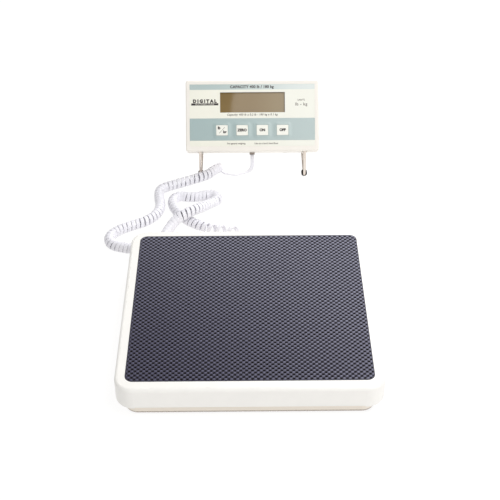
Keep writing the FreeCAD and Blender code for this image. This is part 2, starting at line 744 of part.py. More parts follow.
def pivot_blocks():
    """Two bearing blocks inside the housing that hold the stand's wire ends."""
    side = S.pin_y + 1.4
    middle = S.display_wall + side / 2
    blocks = [brick((sx * 70.0, middle, middle), (9.0, side, side)) for sx in SIDES]
    bore = rod((-80.0, S.pin_y, S.pin_z), S.wire_radius + S.running_gap, 160.0, ALONG_X)
    return cut(group(blocks), [bore])


def display_socket():
    wide, deep, tall = DISPLAY_SOCKET
    block = brick((S.jack_x, S.jack_y + 0.5, tall / 2), DISPLAY_SOCKET)
    mouth = brick((S.jack_x, S.jack_y + 0.5, 4.0),
                  (S.plug_width + S.fit_gap, S.plug_height + S.fit_gap, 16.0))
    return cut(block, [mouth])


PLUG_DROP = 3.2


def display_plug():
    return group([brick((S.jack_x, S.jack_y + 0.5, (PLUG_IN - PLUG_DROP) / 2),
                        (S.plug_width, S.plug_height, PLUG_IN + PLUG_DROP))])


def power_inlet():
    """Low-voltage barrel inlet in the housing's underside."""
    x, y = INLET_SPOT
    block = brick((x, y, INLET[2] / 2), INLET)
    barrel = rod((x, y, -1), 3.1, 10.0)
    pin = rod((x, y, 1), 1.0, 8.5)
    return fuse([cut(block, [barrel]), pin])


CELL_ROWS = [S.tray_z + side * 7.6 for side in SIDES]
AA_Y = S.tray_front + 1.2 + S.cell_radius_aa + 0.05


def battery_tray():
    back = 26.0
    outer = brick((0, (S.tray_front + back) / 2, S.tray_z),
                  (S.tray_length + 3, back - S.tray_front, S.tray_height))
    inner = brick((0, S.tray_front + 1.2 + 10, S.tray_z), (S.tray_length, 20.0, S.tray_height - 2.4))
    return cut(outer, [inner])


def batteries():
    cells = []
    tip_length = 1.2
    can_length = S.cell_length_aa - tip_length
    for z in CELL_ROWS:
        for start in (-1, 0):
            left = start * S.cell_length_aa
            can = rod((left, AA_Y, z), S.cell_radius_aa, can_length, ALONG_X)
            tip = rod((left + can_length, AA_Y, z), 2.6, tip_length, ALONG_X)
            cells.append(fuse([can, tip]))
    return group(cells)


def battery_contacts():
    """Nickel plates at the tray's ends, each with its contact button."""
    contacts = []
    for z in CELL_ROWS:
        for sx in SIDES:
            plate_x = S.tray_length / 2 - 0.2
            gap = S.tray_length / 2 - 0.4 - S.cell_length_aa
            plate = brick((sx * plate_x, AA_Y, z), (0.4, 12.0, 12.0))
            start = S.cell_length_aa if sx > 0 else -S.cell_length_aa - gap
            contacts.append(fuse([plate, rod((start, AA_Y, z), 2.4, gap, ALONG_X)]))
    return group(contacts)


def battery_door():
    """Door in the back cover with a barrel and pins along its lower edge."""
    top = S.tray_z + DOOR_OPENING[1] / 2 - 0.3
    plate = brick((0, HINGE_Y + S.door_gauge / 2, (top + HINGE_Z) / 2),
                  (DOOR_OPENING[0] - 0.8, S.door_gauge, top - HINGE_Z))
    barrel = rod((-55.0, HINGE_Y, HINGE_Z), S.hinge_radius, 110.0, ALONG_X)
    pins = rod((-58.5, HINGE_Y, HINGE_Z), S.door_pin, 117.0, ALONG_X)
    ribs = [brick((0, HINGE_Y + S.door_gauge, top - 4 - 2.2 * step), (24.0, 0.9, 0.9)) for step in range(3)]
    return fuse([plate, barrel, pins] + ribs)


# ---------------------------------------------------------------- wire stand

LEAN = math.radians(float(S.display_lean))


def display_point(x, y, z):
    """Where a point of the display's own frame lies, from the platform's centre."""
    return (S.display_x + x, S.display_reach + y * math.cos(LEAN) + z * math.sin(LEAN),
            S.display_edge - y * math.sin(LEAN) + z * math.cos(LEAN))


def from_platform(points):
    return [(x, S.platform_y + y, z) for x, y, z in points]


PIN = display_point(0, S.pin_y, S.pin_z)
FOOT_Y = PIN[1] - S.foot_reach


def stand_wire():
    """One chromed wire: end pin, leg, floor rail, rear bar, rail, leg, end pin."""
    left = [(S.display_x - S.pin_reach, PIN[1], PIN[2]), (S.display_x - S.leg_x, PIN[1], PIN[2]),
            (S.display_x - S.leg_x, FOOT_Y, S.sleeve_radius),
            (S.display_x - S.leg_x, S.rear_bar, S.sleeve_radius)]
    right = [(2 * S.display_x - x, y, z) for x, y, z in reversed(left)]
    bends = [float(r) for r in (S.top_bend, S.foot_bend, S.rear_bend)]
    return swept_part(sweep(from_platform(left + right), S.wire_radius, "stand wire", bends + bends[::-1]))


def stand_sleeves():
    """Rubber sleeves: one on each floor rail behind its front bend and two on the rear bar."""
    rail_length, bar_length = 6.0, 16.0
    rail_start = FOOT_Y + 5.2
    sleeves = []
    for side in SIDES:
        x = S.display_x + side * S.leg_x
        rail = [(x, rail_start, S.sleeve_radius), (x, rail_start + rail_length, S.sleeve_radius)]
        start = S.display_x + side * 38.0 - bar_length / 2
        bar = [(start, S.rear_bar, S.sleeve_radius), (start + bar_length, S.rear_bar, S.sleeve_radius)]
        sleeves += [straight_tube(from_platform(ends)) for ends in (rail, bar)]
    return swept_part(Part.makeCompound(sleeves))


def straight_tube(ends):
    """Sleeve between two points of the wire."""
    start, end = (FreeCAD.Vector(*(float(as_size(v)) for v in p)) for p in ends)
    along = end - start
    outer, inner = (Part.makeCylinder(float(r), along.Length, start, along)
                    for r in (S.sleeve_radius, S.wire_radius + 0.02))
    return outer.cut(inner)


# ---------------------------------------------------------------- cord, from the platform's centre

PLUG_FACE = display_point(S.jack_x, S.jack_y + 0.5, -PLUG_DROP - 0.05)
BELOW_PLUG = display_point(S.jack_x, S.jack_y + 0.5, -PLUG_DROP - 9)
DISPLAY_LEAD = [PLUG_FACE, BELOW_PLUG, (6.0, 355.4, 11.5), (0.5, 354.8, 5), (-9, 353.8, 3),
                (-19, 352.4, 2.6), (-28, 353, 2.6), (-35, 356, 2.6), (-38, 361.2, 2.6)]
COIL = [(-41.5, 363.5, 7.5), (-50.5, 359, 8), (-60, 346.5, 9), (-76, 335.3, 10.5), (-95, 328.5, 8.5),
        (-115, 320, 7.5), (-133, 310, 7.5), (-132.5, 288, 7.5), (-128.5, 266, 7.5), (-133, 246, 7.5),
        (-148, 229, 7.5), (-167, 220.5, 7.5), (-187, 208.5, 7.5), (-199, 193, 7.5), (-194, 175, 7.5),
        (-176, 168, 7.5), (-156, 164.5, 7.5), (-137, 168, 7.5), (-123, 184, 7.5), (-114, 203, 12),
        (-105, 216, 19.5), (-92, 221.5, 26.2), (-76, 232.5, 26.2), (-65, 250, 19), (-55.5, 268, 11.5),
        (-43, 282, 8), (-52, 296.5, 7.5), (-68, 291.5, 7.5), (-86, 288, 7.5), (-103, 293, 7.5),
        (-113, 281, 7.5), (-108, 258.5, 7.5), (-93, 236, 7.5), (-74, 220.5, 7.5), (-54, 211.5, 7.5),
        (-33, 207, 7.5), (-12, 204.5, 7.5)]
BASE_LEAD = [(-11.9, 204.5, 7.5), (-3, 203.4, 7.3), (6, 200.5, 5), (14.5, 193, 3.4), (20.5, 182.5, 3.6),
             (24.5, 172, 6), (26, 162.5, 10.5), (26, 153.5, S.socket_z),
             (26, BACK_WALL + PLUG_OUT + 3.05, S.socket_z)]


def cord_part(points, radius, name):
    return swept_part(sweep(from_platform(points), radius, name))


# ---------------------------------------------------------------- build, check and write

PLATFORM_PARTS = [base_tray, rubber_feet, load_cells, load_cell_screws, junction_board, junction_screws,
                  base_socket, base_plug, platform_cover, tread_mat, deck_plate, deck_channels,
                  load_pads, deck_screws]
DISPLAY_PARTS = [front_bezel, back_cover, face_overlay, lcd_window, lcd_holder, lcd_glass, contact_strips,
                 main_board, board_screws, case_screws, key_switches, buzzer, pivot_blocks,
                 display_socket, display_plug, power_inlet, battery_tray, batteries, battery_contacts,
                 battery_door]

for make in PLATFORM_PARTS:
    keep(in_platform(make()), make.__name__)
keep(in_platform(cell_wires()), "cell_wires")
for make in DISPLAY_PARTS:
    keep(in_display(make()), make.__name__)
for name, x in zip(KEY_NAMES, KEY_SPOTS):
    keep(in_display(key(x)), name)
keep(stand_wire(), "stand_wire")
keep(stand_sleeves(), "stand_sleeves")
keep(cord_part(DISPLAY_LEAD, S.lead_radius, "display lead"), "display_lead")
keep(cord_part(COIL, S.coil_radius, "curly cord"), "curly_cord")
keep(cord_part(BASE_LEAD, S.lead_radius, "base lead"), "base_lead")
doc.recompute()

failed = [item.Label for item in doc.Objects if set(item.State) & {"Invalid", "Error"}]
bad = [item.Label for item in parts if item.Shape.isNull() or not item.Shape.isValid()]
if failed or bad:
    raise RuntimeError(f"failed objects {failed}, bad shapes {bad}")
os.makedirs("parts", exist_ok=True)
for item in parts:
    item.Shape.exportStep(f"parts/{item.Label}.step")
print(len(parts), "parts written")
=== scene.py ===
"""Low platform scale with a studded mat, a keypad display on a wire stand, and a curly cord.

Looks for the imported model. Blender works in metres, in the CAD frame: X across, Y from front to back,
Z up. Sizes written as numbers are millimetres, except the lights', and are multiplied by MM when used.
"""
import json
import math

import bmesh
import bpy
import numpy as np
from mathutils import Matrix, Vector


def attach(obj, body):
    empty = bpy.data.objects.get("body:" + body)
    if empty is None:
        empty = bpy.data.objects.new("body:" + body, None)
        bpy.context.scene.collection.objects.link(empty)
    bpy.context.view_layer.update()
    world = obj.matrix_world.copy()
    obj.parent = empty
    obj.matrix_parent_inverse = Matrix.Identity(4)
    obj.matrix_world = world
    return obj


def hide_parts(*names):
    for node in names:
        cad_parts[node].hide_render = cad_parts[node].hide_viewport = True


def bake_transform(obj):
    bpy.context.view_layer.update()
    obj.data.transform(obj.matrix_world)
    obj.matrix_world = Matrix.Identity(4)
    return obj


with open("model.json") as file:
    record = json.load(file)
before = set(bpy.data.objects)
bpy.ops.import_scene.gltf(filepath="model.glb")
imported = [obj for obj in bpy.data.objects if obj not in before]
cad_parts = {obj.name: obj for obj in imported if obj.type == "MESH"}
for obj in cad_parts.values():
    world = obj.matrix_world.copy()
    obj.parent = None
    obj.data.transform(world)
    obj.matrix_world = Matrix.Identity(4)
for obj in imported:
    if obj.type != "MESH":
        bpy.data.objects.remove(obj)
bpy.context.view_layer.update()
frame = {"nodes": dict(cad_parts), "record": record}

MM = 0.001
PLATFORM_Y = -144.09
LEAN = math.radians(38.45)
DISPLAY_AT = (7.7, PLATFORM_Y + 349.93, 48.56)
X, Z = np.array([1.0, 0.0, 0.0]), np.array([0.0, 0.0, 1.0])


def link(obj):
    bpy.context.scene.collection.objects.link(obj)
    return obj


def add_node(tree, kind, inputs=(), **settings):
    """New shader node. An input given as a socket is linked, anything else is its value."""
    made = tree.nodes.new(kind)
    for key, value in settings.items():
        setattr(made, key, value)
    for key, value in dict(inputs).items():
        if isinstance(value, bpy.types.NodeSocket):
            tree.links.new(value, made.inputs[key])
        else:
            made.inputs[key].default_value = value
    return made


# ---------------------------------------------------------------- camera, lights and floor

CAMERA_AT = (-3.495, PLATFORM_Y - 1032.44, 955.22)
CAMERA_PITCH, CAMERA_YAW, CAMERA_ROLL = (math.radians(a) for a in (38.445, 0.275, -0.259))
LENS, SENSOR = 78.26, 36.0


def camera_axes():
    """Right, up and forward of the camera."""
    level = Vector((math.sin(CAMERA_YAW), math.cos(CAMERA_YAW), 0))
    forward = level * math.cos(CAMERA_PITCH) - Vector((0, 0, math.sin(CAMERA_PITCH)))
    right = Vector((math.cos(CAMERA_YAW), -math.sin(CAMERA_YAW), 0))
    up = right.cross(forward)
    turned = right * math.cos(CAMERA_ROLL) + up * math.sin(CAMERA_ROLL)
    return turned, turned.cross(forward), forward


def make_camera():
    data = bpy.data.cameras.new("camera")
    data.lens, data.sensor_width = LENS, SENSOR
    data.clip_start, data.clip_end = 0.05, 20.0
    camera = link(bpy.data.objects.new("camera", data))
    right, up, forward = camera_axes()
    turn = Matrix((right, up, -forward)).transposed().to_4x4()
    camera.matrix_world = Matrix.Translation(Vector(CAMERA_AT) * MM) @ turn
    bpy.context.scene.camera = camera


def area_light(name, place, target, size, watts):
    data = bpy.data.lights.new(name, "AREA")
    data.shape, data.size, data.energy = "DISK", size, watts
    lamp = link(bpy.data.objects.new(name, data))
    lamp.location = place
    lamp.rotation_euler = (Vector(target) - Vector(place)).to_track_quat("-Z", "Y").to_euler()


# The floor's painted shade shows in gaps narrower than its reach, and fades out backwards between two Y
# values.
SHADE_REACH = 8 * MM
FADE_START, FADE_END = -60 * MM, 0.0


def white_paper():
    """Backlit white paper with painted shade: darker and browner only in the narrow gap under the
    platform.
    """
    paper = bpy.data.materials.new("white_paper")
    paper.use_nodes = True
    tree = paper.node_tree
    gap = add_node(tree, "ShaderNodeAmbientOcclusion", {"Distance": SHADE_REACH}, samples=8)
    place = add_node(tree, "ShaderNodeNewGeometry")
    across = add_node(tree, "ShaderNodeSeparateXYZ", {"Vector": place.outputs["Position"]})
    behind = add_node(tree, "ShaderNodeMapRange", {
        "Value": across.outputs["Y"], "From Min": FADE_START, "From Max": FADE_END})
    openness = add_node(tree, "ShaderNodeMath", {0: gap.outputs["AO"], 1: behind.outputs["Result"]},
                        operation="MAXIMUM").outputs["Value"]
    glow = add_node(tree, "ShaderNodeMapRange", {
        "Value": openness, "From Min": 0.12, "From Max": 0.5, "To Min": 0.1, "To Max": 0.9})
    tint = add_node(tree, "ShaderNodeValToRGB", {"Fac": openness})
    shaded_stop, open_stop = tint.color_ramp.elements
    shaded_stop.color = (1.0, 0.66, 0.42, 1)
    open_stop.position, open_stop.color = 0.4, (1, 1, 1, 1)
    shader = tree.nodes["Principled BSDF"]
    tree.links.new(tint.outputs["Color"], shader.inputs["Emission Color"])
    tree.links.new(glow.outputs["Result"], shader.inputs["Emission Strength"])
    shader.inputs["Base Color"].default_value = (0.16, 0.155, 0.15, 1)
    shader.inputs["Roughness"].default_value = 0.9
    shader.inputs["Specular IOR Level"].default_value = 0.0
    return paper


# Disk lights: name, place, the point it faces, diameter and watts. Places and sizes here are metres.
SOFTBOXES = [("key_softbox", (0.63, -0.585, 1.8), (0, 0, 0), 0.9, 15.2),
             ("back_softbox", (0.4, 0.95, 0.8), (0, -0.05, 0.05), 0.6, 9.0),
             ("side_softbox", (0.95, -1.15, 0.95), (0, 0.1, 0.05), 0.6, 5.0)]
# The fill light stands to the right of the camera and above it.
FILL_RIGHT, FILL_UP, FILL_TARGET, FILL_SIZE, FILL_WATTS = 0.13, 0.42, (0, 0.2, 0.1), 0.35, 0.8
WORLD_STRENGTH = 0.5
FLOOR_SIDE = 8.0


def make_studio():
    scene = bpy.context.scene
    scene.view_settings.view_transform = "Standard"
    scene.world = bpy.data.worlds.new("studio")
    scene.world.use_nodes = True
    background = scene.world.node_tree.nodes["Background"]
    background.inputs["Color"].default_value = (1.0, 1.0, 1.0, 1.0)
    background.inputs["Strength"].default_value = WORLD_STRENGTH
    for softbox in SOFTBOXES:
        area_light(*softbox)
    right, up, _ = camera_axes()
    beside = Vector(CAMERA_AT) * MM + right * FILL_RIGHT + up * FILL_UP
    area_light("fill_light", beside, FILL_TARGET, FILL_SIZE, FILL_WATTS)

    bpy.ops.mesh.primitive_grid_add(x_subdivisions=2, y_subdivisions=2, size=FLOOR_SIDE)
    floor = bpy.context.object
    floor.name = "studio_floor"
    floor.data.materials.append(white_paper())


make_camera()
make_studio()


# ---------------------------------------------------------------- materials

FACTOR_IN, FIRST_IN, SECOND_IN, COLOUR_OUT = 0, 6, 7, 2


def mix_colour(tree, factor, first, second):
    """Output socket of a colour mix."""
    inputs = {FACTOR_IN: factor, FIRST_IN: first, SECOND_IN: second}
    return add_node(tree, "ShaderNodeMix", inputs, data_type="RGBA").outputs[COLOUR_OUT]


def shaded(colour, factor=1.0):
    return tuple(min(1.0, c * factor) for c in colour) + (1.0,)


GRAIN_DEPTH = 0.04 * MM


def finish(name, colour, roughness, metallic=0.0, mottle=0.03, mottle_scale=60.0, grain=0.15,
           grain_scale=1200.0, rough_spread=0.08, stretch=(1, 1, 1), blends=(), gap_shade=None, extra=()):
    """Principled material whose colour, roughness and surface vary with procedural noise.

    Each of blends is (direction, start, stop, colour): the colour turns into this one between two
    The argument after blends is (colour, distance): painted shade, the colour laid into gaps narrower than
    the distance.
    """
    material = bpy.data.materials.new(name)
    material.use_nodes = True
    tree = material.node_tree
    principled = tree.nodes["Principled BSDF"]
    place = add_node(tree, "ShaderNodeTexCoord").outputs["Object"]
    spread = add_node(tree, "ShaderNodeMapping", {"Vector": place, "Scale": stretch}).outputs["Vector"]
    cloud = add_node(tree, "ShaderNodeTexNoise", {"Vector": spread, "Scale": mottle_scale, "Detail": 4.0})
    fine = add_node(tree, "ShaderNodeTexNoise", {"Vector": spread, "Scale": grain_scale, "Detail": 2.0})
    tone = mix_colour(tree, cloud.outputs["Fac"], shaded(colour, 1 - mottle), shaded(colour, 1 + mottle))
    for direction, start, stop, other in blends:
        along = add_node(tree, "ShaderNodeVectorMath", {0: place, 1: direction}, operation="DOT_PRODUCT")
        share = add_node(tree, "ShaderNodeMapRange", {
            "Value": along.outputs["Value"], "From Min": start * MM, "From Max": stop * MM},
            interpolation_type="SMOOTHSTEP")
        tone = mix_colour(tree, share.outputs["Result"], tone, shaded(other))
    # Painted shade: gaps in the piece itself narrower than the distance darken towards the colour, by
    # ambient occlusion.
    if gap_shade:
        shade_colour, distance = gap_shade
        gap = add_node(tree, "ShaderNodeAmbientOcclusion", {"Distance": distance * MM}, samples=8,
                       only_local=True)
        openness = add_node(tree, "ShaderNodeMapRange", {
            "Value": gap.outputs["AO"], "From Min": 0.04, "From Max": 0.24})
        tone = mix_colour(tree, openness.outputs["Result"], shaded(shade_colour), tone)
    rough = add_node(tree, "ShaderNodeMapRange", {
        "Value": cloud.outputs["Fac"], "From Min": 0.3, "From Max": 0.7,
        "To Min": roughness - rough_spread / 2, "To Max": roughness + rough_spread / 2})
    bump = add_node(tree, "ShaderNodeBump", {
        "Height": fine.outputs["Fac"], "Strength": grain, "Distance": GRAIN_DEPTH})
    tree.links.new(tone, principled.inputs["Base Color"])
    tree.links.new(rough.outputs["Result"], principled.inputs["Roughness"])
    tree.links.new(bump.outputs["Normal"], principled.inputs["Normal"])
    principled.inputs["Metallic"].default_value = metallic
    for key, value in dict(extra).items():
        principled.inputs[key].default_value = value
    return material


RIGHTWARD, UPWARD = (1, 0, 0), (0, 0, 1)
MATERIALS = {
    "cover_plastic": finish("cover_plastic", (0.87, 0.852, 0.815), 0.36),
    # The tray is painted brown at its bottom edge and turns cream from 1.7 to 3.2 mm up: painted contact
    # shadow along the floor.
    "base_plastic": finish("base_plastic", (0.20, 0.12, 0.07), 0.5, grain=0.3,
                           blends=[(UPWARD, 1.7, 3.2, (0.87, 0.80, 0.70))]),
    "housing_plastic": finish("housing_plastic", (0.87, 0.83, 0.765), 0.42, grain=0.25),
    # Painted sheen: the film turns whiter towards the right.
    "printed_film": finish("printed_film", (0.86, 0.85, 0.745), 0.4, grain=0.2,
                           blends=[(RIGHTWARD, -70, 110, (0.85, 0.85, 0.77))]),
    # Painted reflection: the lens turns lighter towards the right.
    "window_lens": finish("window_lens", (0.215, 0.142, 0.05), 0.04, mottle=0.06, mottle_scale=25,
                          grain=0.02, rough_spread=0.02, blends=[(RIGHTWARD, 0, 60, (0.26, 0.19, 0.09))]),
    "lcd_glass": finish("lcd_glass", (0.25, 0.23, 0.16), 0.2, grain=0.02),
    "key_plastic": finish("key_plastic", (0.88, 0.875, 0.80), 0.4),
    "mat_rubber": finish("mat_rubber", (0.088, 0.085, 0.135), 0.45, grain=0.3,
                         # Painted sheen: the mat turns lighter towards the back right.
                         blends=[((0.707, 0.707, 0), -310, 100, (0.26, 0.26, 0.335)),
                                 # Painted shade: the mat turns near black below 49.7 mm, deep in its pits.
                                 (UPWARD, 50.95, 49.7, (0.003, 0.001, 0.003))],
                         extra={"Specular IOR Level": 0.15}),
    "black_rubber": finish("black_rubber", (0.005, 0.004, 0.004), 0.6, mottle=0.2, grain=0.5,
                           extra={"Specular IOR Level": 0.03}),
    "stand_chrome": finish("stand_chrome", (0.78, 0.71, 0.64), 0.12, 1.0, grain=0.02, rough_spread=0.05,
                           extra={"Specular Tint": (0.2, 0.11, 0.06, 1)}),
    # The cord is painted darker in the gaps between its own turns: painted shade.
    "cord_jacket": finish("cord_jacket", (0.80, 0.79, 0.835), 0.4, gap_shade=((0.05, 0.05, 0.10), 12)),
    "clear_plug": finish("clear_plug", (0.36, 0.30, 0.26), 0.15, extra={"Transmission Weight": 0.3}),
    "socket_plastic": finish("socket_plastic", (0.03, 0.03, 0.033), 0.5),
    "circuit_board": finish("circuit_board", (0.02, 0.14, 0.06), 0.35, mottle=0.3, mottle_scale=400),
    "deck_steel": finish("deck_steel", (0.55, 0.56, 0.57), 0.35, 1.0, mottle=0.15, mottle_scale=90),
    "cell_aluminium": finish("cell_aluminium", (0.7, 0.71, 0.72), 0.35, 1.0, stretch=(0.1, 1, 1)),
    "zinc_screw": finish("zinc_screw", (0.6, 0.6, 0.58), 0.35, 1.0, mottle=0.15),
    "nickel_contact": finish("nickel_contact", (0.65, 0.62, 0.55), 0.25, 1.0),
    "battery_can": finish("battery_can", (0.05, 0.05, 0.06), 0.3, 0.6),
    "wire_insulation": finish("wire_insulation", (0.55, 0.05, 0.04), 0.45),
    # Painted sheen: both bands turn lighter towards the right.
    "band_print": finish("band_print", (0.37, 0.47, 0.465), 0.42, mottle=0.06, mottle_scale=900, grain=0.3,
                         blends=[(RIGHTWARD, -70, 110, (0.47, 0.555, 0.545))]),
    "top_band_print": finish("top_band_print", (0.44, 0.53, 0.52), 0.42, mottle=0.06, mottle_scale=900,
                             blends=[(RIGHTWARD, -70, 110, (0.72, 0.77, 0.745))]),
    "dark_print": finish("dark_print", (0.035, 0.025, 0.025), 0.5),
    "grey_print": finish("grey_print", (0.15, 0.125, 0.11), 0.5),
}


def paint(obj, name):
    """Puts one material in every slot of a piece."""
    if not obj.data.materials:
        obj.data.materials.append(MATERIALS[name])
    for material_slot in obj.material_slots:
        material_slot.material = MATERIALS[name]


# These two are in the housing's colour, whatever slot the record gives them.
PALE_PARTS = ("display_socket", "power_inlet")
for part in frame["record"]["subparts"]:
    pale = part["node"] in PALE_PARTS
    paint(frame["nodes"][part["node"]], "housing_plastic" if pale else part["material_slot"])


# ---------------------------------------------------------------- helpers for pieces

def piece(name, mesh, material, body, smooth=True):
    """Mesh object that rides on a body."""
    obj = link(bpy.data.objects.new(name, mesh))
    paint(obj, material)
    for face in mesh.polygons:
        face.use_smooth = smooth
    if body:
        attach(obj, body)
    return obj


def closed_mesh(name, points, faces):
    """Mesh from points in millimetres, with its faces turned outward."""
    mesh = bpy.data.meshes.new(name)
    mesh.from_pydata([tuple(p) for p in np.asarray(points) * MM], [], faces)
    work = bmesh.new()
    work.from_mesh(mesh)
    bmesh.ops.recalc_face_normals(work, faces=work.faces)
    work.to_mesh(mesh)
    work.free()
    return mesh


# ---------------------------------------------------------------- curly cord

CABLE_WIDTH, CABLE_GAUGE, CABLE_CORNER = 5.5, 2.2, 0.45
COIL_RADIUS = 7.5
WIND_RADIUS = COIL_RADIUS - CABLE_GAUGE / 2
STEPS_PER_TURN, LONGEST_STEP = 28, 1.5
# The flat lead twists once in this length, and grows into a full turn of the coil over the reach.
FLAT_TURN, WINDING_REACH = 400.0, 14.0
# Number of neighbouring points over which the route's bending is averaged.
BEND_SPREAD = 17
# From this winding radius on, the cable fills this share of the room its turn has, no less than the
# narrowest.
WOUND_FROM, TURN_FILL, NARROWEST = 3.0, 0.99, 1.4

# The route of part.py from the platform's plug to the display's end of the coil, in millimetres from
# the platform's centre, each point with the spacing of the coil's turns there. Spacing 0 is flat lead.
# The coil lies up to 0.4 mm higher than there, so that no turn dips into the floor, and its last two
# points up to 3.3 mm higher.
FLAT = 0.0
ROUTE = [((26, 144.65, 12.5), FLAT), ((26, 153.5, 12.5), FLAT), ((26, 162.5, 9), FLAT),
         ((24.5, 172, 4), FLAT), ((20.5, 182.5, 2.6), FLAT), ((14.5, 193, 2.4), FLAT),
         ((6, 200.5, 3), FLAT), ((-3, 203.4, 6), 22), ((-12, 204.5, 7.9), 20),
         ((-33, 207, 7.9), 15), ((-54, 211.5, 7.9), 8), ((-74, 220.5, 7.9), 6.6),
         ((-93, 236, 7.9), 6.2), ((-108, 258.5, 7.9), 5.8), ((-113, 281, 7.9), 5.8),
         ((-103, 293, 7.9), 5.8), ((-86, 288, 7.9), 5.5), ((-68, 291.5, 7.9), 5.5),
         ((-52, 296.5, 7.9), 5.6), ((-43, 282, 8), 6.0), ((-55.5, 268, 11.5), 6.6), ((-65, 250, 19), 6.8),
         ((-76, 232.5, 26.2), 6.6), ((-92, 221.5, 26.2), 6.2), ((-105, 216, 19.5), 5.8),
         ((-114, 203, 12), 5.6), ((-123, 184, 7.9), 5.6), ((-137, 168, 7.9), 5.6),
         ((-156, 164.5, 7.9), 5.6), ((-176, 168, 7.9), 5.6), ((-194, 175, 7.9), 5.6),
         ((-199, 193, 7.9), 5.6), ((-187, 208.5, 7.9), 6.4), ((-167, 220.5, 7.9), 7.0),
         ((-148, 229, 7.9), 6.8), ((-133, 246, 7.9), 6.2), ((-128.5, 266, 7.9), 5.6),
         ((-132.5, 288, 7.9), 5.6), ((-133, 310, 7.9), 5.8), ((-115, 320, 7.9), 6.6),
         ((-95, 328.5, 8.5), 7.2), ((-76, 335.3, 10.5), 7.2), ((-60, 346.5, 9), 7.0),
         ((-50.5, 359.6, 9.8), 6.2), ((-40.5, 364.2, 10.8), 5.6)]


def spline_points(name, route):
    """Points in millimetres along the smooth NURBS line whose control points are the route's."""
    curve = bpy.data.curves.new(name, "CURVE")
    curve.dimensions = "3D"
    spline = curve.splines.new("NURBS")
    spline.points.add(len(route) - 1)
    for point, place in zip(spline.points, route):
        point.co = (*place, 1.0)
    spline.order_u = 3
    spline.use_endpoint_u = True
    spline.resolution_u = 24
    holder = bpy.data.objects.new(name, curve)
    mesh = bpy.data.meshes.new_from_object(holder)
    points = np.array([v.co for v in mesh.vertices], float)
    bpy.data.objects.remove(holder)
    bpy.data.meshes.remove(mesh)
    return points


def unit(vectors):
    return vectors / np.linalg.norm(vectors, axis=-1, keepdims=True)


def distance_along(points):
    return np.concatenate([[0.0], np.cumsum(np.linalg.norm(np.diff(points, axis=0), axis=1))])


def carried_side(tangents, first):
    """Side direction carried along the line without twisting round it."""
    sides = [first]
    for tangent in tangents:
        side = sides[-1] - tangent * np.dot(sides[-1], tangent)
        sides.append(side / np.linalg.norm(side))
    return np.array(sides[1:])


def at(values, along, where):
    """Values known along a line, read at other distances."""
    return np.stack([np.interp(where, along, column) for column in values.T], axis=1)


def cable_section():
    """Outline of the flat cable: its width along the first number, its gauge along the second."""
    outline = []
    for corner in range(4):
        side_x, side_y = ((1, 1), (-1, 1), (-1, -1), (1, -1))[corner]
        for step in range(4):
            angle = math.radians(90 * corner + 30 * step)
            outline.append((side_x * (CABLE_WIDTH / 2 - CABLE_CORNER) + CABLE_CORNER * math.cos(angle),
                            side_y * (CABLE_GAUGE / 2 - CABLE_CORNER) + CABLE_CORNER * math.sin(angle)))
    return np.array(outline)


def cable_mesh(name, path, width_way, widths):
    """Flat cable along a path. width_way is the way its width lies, widths its width at each point."""
    tangents = unit(np.gradient(path, axis=0))
    across = unit(width_way - tangents * np.sum(width_way * tangents, axis=1, keepdims=True))
    through = np.cross(tangents, across)
    section = cable_section()
    scale = (widths / CABLE_WIDTH)[:, None, None]
    points = (path[:, None] + across[:, None] * section[None, :, :1] * scale
              + through[:, None] * section[None, :, 1:]).reshape(-1, 3)
    ring, rings = len(section), len(path)
    faces = [(k * ring + i, k * ring + (i + 1) % ring, (k + 1) * ring + (i + 1) % ring, (k + 1) * ring + i)
             for k in range(rings - 1) for i in range(ring)]
    faces += [tuple(range(ring)), tuple(range((rings - 1) * ring, rings * ring))]
    return closed_mesh(name, points, faces)


def to_world(points):
    return np.asarray(points, float) + np.array([0, PLATFORM_Y, 0])


def smoothed(values, count):
    kernel = np.ones(count) / count
    padded = np.pad(values, ((count // 2, count // 2), (0, 0)), mode="edge")
    return np.stack([np.convolve(column, kernel, "valid") for column in padded.T], axis=1)


